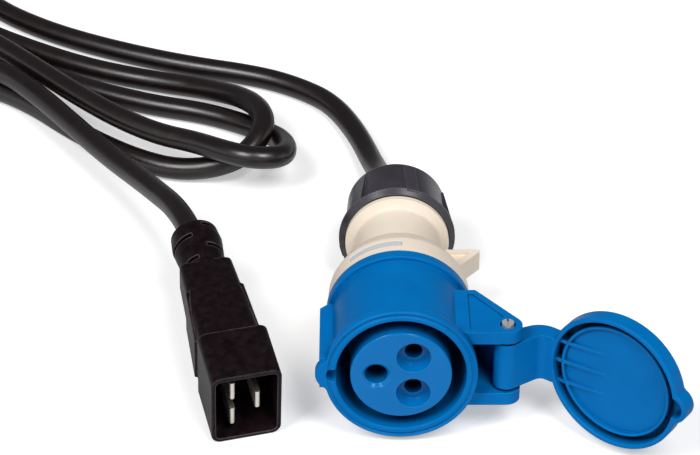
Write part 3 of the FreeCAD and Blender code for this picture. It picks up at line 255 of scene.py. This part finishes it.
def moulded(name, pale, deep, roughness, grain=0.45, depth=0.03, edge=0.25, gloss=0.3,
            edge_highlight=None, painted_shade=0.0, mottle=18):
    """Moulded plastic: grain is the pitch and depth the height of the eroded texture, and edge the
    radius of its corners, in mm.  The real grain is finer, and is drawn as coarse as it needs to
    show.  edge_highlight is the colour of a painted highlight on the edges, painted_shade how far
    painted shade darkens deep recesses, and mottle the size in mm of the clouds in its colour."""
    plastic = new_material(name)
    spot = add(plastic, "TexCoord")
    cloud = add(plastic, "TexNoise", Vector=spot.outputs["Object"], Scale=1000 / mottle, Detail=4.0,
                Roughness=0.55)
    tint = add(plastic, "ValToRGB", Fac=cloud.outputs["Fac"])
    for stop, place, shade in zip(tint.color_ramp.elements, CLOUDS, (deep, pale)):
        stop.position = place
        stop.color = linear(shade)
    sheen = add(plastic, "MapRange", Value=cloud.outputs["Fac"], From_Min=CLOUDS[0], From_Max=CLOUDS[1],
                To_Min=roughness - 0.04, To_Max=roughness + 0.05)
    pits = add(plastic, "TexNoise", Vector=spot.outputs["Object"], Scale=1000 / grain, Detail=2.0)
    soft_edge = add(plastic, "Bevel", {"samples": 6}, Radius=edge / 1000)
    pitted = add(plastic, "Bump", Height=pits.outputs["Fac"], Distance=depth / 1000, Strength=0.35,
                 Normal=soft_edge.outputs["Normal"])
    colour = tint.outputs["Color"]
    if edge_highlight:
        # painted highlight: where the rounded normal turns away from the face's own, the edge is painted paler
        flat = add(plastic, "NewGeometry")
        turned = add(plastic, "VectorMath", {"operation": "DOT_PRODUCT"},
                     {0: soft_edge.outputs["Normal"], 1: flat.outputs["Normal"]})
        edge_highlit = add(plastic, "MapRange", Value=turned.outputs["Value"], From_Min=EDGE_TURNED[0],
                     From_Max=EDGE_TURNED[1], To_Min=1.0, To_Max=0.0)
        broken = add(plastic, "Math", {"operation": "MULTIPLY"},
                     {0: edge_highlit.outputs["Result"], 1: cloud.outputs["Fac"]})
        colour = add(plastic, "Mix", {"data_type": "RGBA"}, {6: colour, 7: linear(edge_highlight)},
                     Factor=broken.outputs[0]).outputs[2]
    if painted_shade:
        # painted shade: darkened where little light reaches, in the mouth gap, entries and roots of the ribs
        open_sky = add(plastic, "AmbientOcclusion", {"samples": 6}, Distance=RECESS_REACH / 1000)
        shut = add(plastic, "MapRange", Value=open_sky.outputs["AO"], From_Min=RECESS_OPEN[0],
                   From_Max=RECESS_OPEN[1], To_Min=painted_shade, To_Max=0.0)
        dark = [c * RECESS_DARK for c in linear(deep)[:3]] + [1]
        colour = add(plastic, "Mix", {"data_type": "RGBA"}, {6: colour, 7: dark},
                     Factor=shut.outputs["Result"]).outputs[2]
    surface = add(plastic, "BsdfPrincipled", Base_Color=colour, Roughness=sheen.outputs["Result"],
                  IOR=1.53, Specular_IOR_Level=gloss, Normal=pitted.outputs["Normal"])
    add(plastic, "OutputMaterial", Surface=surface.outputs[0])
    return plastic


def finish_nodes(material, *nodes):
    """Gives CAD nodes their finish."""
    for name in nodes:
        piece = frame["nodes"][name]
        if piece.data.materials:
            for slot in piece.material_slots:
                slot.material = material
        else:
            piece.data.materials.append(material)


# The eye gets a deep, nearly matt blue, with a painted highlight that makes the edges paler and
# painted shade that makes the gap round the insert almost black.
blue_polyamide = moulded("blue_moulded_polyamide", "#006cb2", "#0064a8", 0.34, gloss=0.04, edge_highlight="#2f97d8",
                         painted_shade=0.95)
finish_nodes(blue_polyamide, "front_housing", "lid")


# ------------------------------------------------------------------ lid dish
# The dish in the lid's outer face has a plain moulded floor, one thin disc of the lid's own blue
# polyamide, turned as a shallow cone frustum that seats in the dish wall.
def solid_piece(name, corners, faces, material, body):
    """A closed mesh from corners in mm, riding on a body."""
    shell = bpy.data.meshes.new(name)
    shell.from_pydata([corner / 1000 for corner in corners], [], faces)
    shell.materials.append(material)
    shell.validate()
    piece = bpy.data.objects.new(name, shell)
    scene.collection.objects.link(piece)
    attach(piece, body)
    return piece


HINGE = Vector((37.6, 9.3, 0))
LID_OPEN = math.radians(frame["joints"][0]["range_deg"][1])    # it lies as far open as it goes
RIM_GAP = 0.4
LID_HEIGHT = 7.0
LID_BACK = -(RIM_GAP + LID_HEIGHT)
DISH_RADIUS = 18.6
DISH_DEPTH = 2.4
DISH_FLOOR = 0.72             # depth that the floor leaves of the dish
SEAT = 0.02                   # how far the disc sinks into the lid
WALL_SLOPE = 1 / (DISH_DEPTH + 1)
DISC_SIDES = 96
lid_lie = (coupler @ Matrix.Translation(HINGE) @ Matrix.Rotation(LID_OPEN, 4, "Z")
           @ Matrix.Translation(-HINGE))
profile = [(DISH_RADIUS + SEAT, LID_BACK + DISH_DEPTH + SEAT),
           (DISH_RADIUS + WALL_SLOPE * (DISH_DEPTH - DISH_FLOOR) + SEAT, LID_BACK + DISH_FLOOR)]
disc_corners = []
for radius, depth in profile:
    for side in range(DISC_SIDES):
        turn = 2 * math.pi * side / DISC_SIDES
        disc_corners.append(lid_lie @ Vector((radius * math.cos(turn), depth, radius * math.sin(turn))))
disc_faces = [tuple(range(DISC_SIDES)), tuple(range(2 * DISC_SIDES - 1, DISC_SIDES - 1, -1))]
for side in range(DISC_SIDES):
    after = (side + 1) % DISC_SIDES
    disc_faces.append((after, side, DISC_SIDES + side, DISC_SIDES + after))
dish_floor = solid_piece("lid_dish_floor", disc_corners, disc_faces, blue_polyamide, "lid")

# ------------------------------------------------------------------ contact insert
# Carrier for the three contacts, moulded in blue polyamide in a smoother tool than the housing, and
# the ring pressed over it.  The eye gets a clean face with small sharp glints in the entries.
# painted highlight on the carrier's edges and painted shade deep in the entries and the gap round it
insert_polyamide = moulded("blue_carrier_polyamide", "#026db4", "#0067ab", 0.15, grain=0.7, depth=0.01,
                           gloss=0.14, edge_highlight="#3aa0de", painted_shade=0.95)
finish_nodes(insert_polyamide, "contact_insert", "insert_ring")


# ------------------------------------------------------------------ contacts, screws and hinge
# Contact sleeves turned from brass bar and slit at the front, with zinc-plated steel screws at the
# wire end.  The hinge is a plated steel pin through the ears, with a coiled spring in the knuckle.
SCRATCH_PITCH = 1.6
METAL_SHADE = 0.82


def metal(name, colour, roughness, scratch=0.12, metallic=1.0):
    """Bare or plated metal; scratch is how much its roughness varies over the fine scratches."""
    alloy = new_material(name)
    spot = add(alloy, "TexCoord")
    lines = add(alloy, "TexNoise", Vector=spot.outputs["Object"], Scale=1000 / SCRATCH_PITCH, Detail=6.0,
                Roughness=0.7)
    haze = add(alloy, "MapRange", Value=lines.outputs["Fac"], From_Min=CLOUDS[0], From_Max=CLOUDS[1],
               To_Min=roughness, To_Max=roughness + scratch)
    tone = add(alloy, "ValToRGB", Fac=lines.outputs["Fac"])
    tone.color_ramp.elements[0].color = [c * METAL_SHADE for c in linear(colour)[:3]] + [1]
    tone.color_ramp.elements[1].color = linear(colour)
    surface = add(alloy, "BsdfPrincipled", Base_Color=tone.outputs["Color"], Metallic=metallic,
                  Roughness=haze.outputs["Result"])
    add(alloy, "OutputMaterial", Surface=surface.outputs[0])
    return alloy


# Brass shows only as a dull glint at the bottom of each entry, and its colour is darkened as painted
# shade for lying deep in the entries.  The plated screws and spring show as a soft grey shine, and
# the pin's flat head as a pale, cloudy zinc white.
finish_nodes(metal("turned_brass_painted_dark", "#6e5a34", 0.4), "line_contact", "neutral_contact", "earth_contact")
finish_nodes(metal("zinc_plated_steel", "#c4c4c2", 0.28), "terminal_screws", "hinge_spring")
finish_nodes(metal("dull_zinc_plated_head", "#e9e9e6", 0.4, metallic=0.7), "hinge_pin")

# ------------------------------------------------------------------ rear housing
# Cream polyamide barrel, moulded with the latch's lug and fixed behind the blue housing; the cage
# that grips the seal is moulded in the same plastic.  The eye gets a warm, matt off-white with a
# fine grain, palest where a painted highlight lies along the edges.
cream_polyamide = moulded("cream_moulded_polyamide", "#eaddcc", "#e3d5c3", 0.42, gloss=0.25, edge_highlight="#f7efe2")
finish_nodes(cream_polyamide, "rear_housing", "clamping_cage")

# ------------------------------------------------------------------ window strip
# A curved strip of light grey polyamide, pressed into the arc window of the barrel.  It lies a
# little below the surface and gives the eye a cooler, greyer band in the cream.
WINDOW_FLOOR = 24.7
WINDOW_FRONT = 44.6
WINDOW_BACK = 47.8
STRIP_TOP = 25.7
STRIP_SUNK = 0.1              # how far its underside is let into the window's floor
STRIP_GAP = 0.12
STRIP_STEPS = 24
FLOOR_MATCH = 0.05            # slack in finding the window's corners on the housing's own mesh
EDGE_MATCH = 0.1
window_turns = []
for vertex in frame["nodes"]["rear_housing"].data.vertices:
    spot = coupler.inverted() @ (vertex.co * 1000)
    on_floor = abs(math.hypot(spot.x, spot.z) - WINDOW_FLOOR) < FLOOR_MATCH
    if on_floor and WINDOW_FRONT - EDGE_MATCH < spot.y < WINDOW_BACK + EDGE_MATCH:
        window_turns.append(math.atan2(spot.z, spot.x))
first_turn = min(window_turns) + STRIP_GAP / WINDOW_FLOOR
last_turn = max(window_turns) - STRIP_GAP / WINDOW_FLOOR
under, top = WINDOW_FLOOR - STRIP_SUNK, STRIP_TOP
near, far = WINDOW_FRONT + STRIP_GAP, WINDOW_BACK - STRIP_GAP
strip_corners = []
for step in range(STRIP_STEPS + 1):
    turn = first_turn + (last_turn - first_turn) * step / STRIP_STEPS
    for radius, depth in ((under, near), (top, near), (top, far), (under, far)):
        strip_corners.append(coupler @ Vector((radius * math.cos(turn), depth, radius * math.sin(turn))))
strip_faces = [(0, 1, 2, 3), tuple(4 * STRIP_STEPS + corner for corner in (3, 2, 1, 0))]
for step in range(STRIP_STEPS):
    here, there = 4 * step, 4 * step + 4
    for side in range(4):
        after = (side + 1) % 4
        strip_faces.append((here + side, there + side, there + after, here + after))
strip = solid_piece("window_strip", strip_corners, strip_faces,
                    moulded("grey_strip_polyamide", "#c3c9cc", "#b9bfc3", 0.35), "lead")

# ------------------------------------------------------------------ gland nut and seal
# Charcoal polyamide nut with six moulded ribs, screwed down over a soft black rubber ring.  The eye
# gets a dark, faintly violet grey with a satin shine, a painted highlight on the edges and painted
# shade at the roots of the ribs; the ring is dull black.
charcoal_polyamide = moulded("charcoal_moulded_polyamide", "#38353d", "#2b282f", 0.27, grain=0.6,
                             gloss=0.45, edge_highlight="#8d8790", painted_shade=0.5)
finish_nodes(charcoal_polyamide, "gland_nut")
finish_nodes(moulded("black_rubber", "#1c1a1a", "#151313", 0.7), "gland_seal")

# ------------------------------------------------------------------ insulated cores
# PVC-insulated copper cores, stripped from the sheath and clamped in the sleeves inside the rear
# housing.  Their plain satin brown, blue and green show only when the barrel is off.
for core, shade in (("line_core", "#5a3420"), ("neutral_core", "#2f6fb5"), ("earth_core", "#6f9a2c")):
    finish_nodes(moulded(core + "_pvc", shade, shade, 0.4), core)

# ------------------------------------------------------------------ appliance plug
# Black PVC moulded over the cable's end, with a bridge of black polyamide that closes the bottom of
# the shroud.  The tool has a matt grain: the eye gets a dry black with a painted highlight that
# turns the corners grey, and painted shade in its recesses.
black_pvc = moulded("black_moulded_pvc", "#1d1417", "#0c0607", 0.4, grain=0.5, depth=0.05, edge=0.7,
                    gloss=0.06, mottle=3, edge_highlight="#74666c", painted_shade=0.5)
finish_nodes(black_pvc, "plug_body")
finish_nodes(moulded("black_bridge_polyamide", "#0c0809", "#080606", 0.45, gloss=0.05), "plug_bridge")

# ------------------------------------------------------------------ blades
# Three flat blades, pressed from brass strip and nickel plated, that stand through the bridge.
# The eye gets a warm silver with an even, slightly clouded shine.
nickel = metal("nickel_plated_brass", "#ebe6dc", 0.35, scratch=0.08)
finish_nodes(nickel, "line_blade", "neutral_blade", "earth_blade")
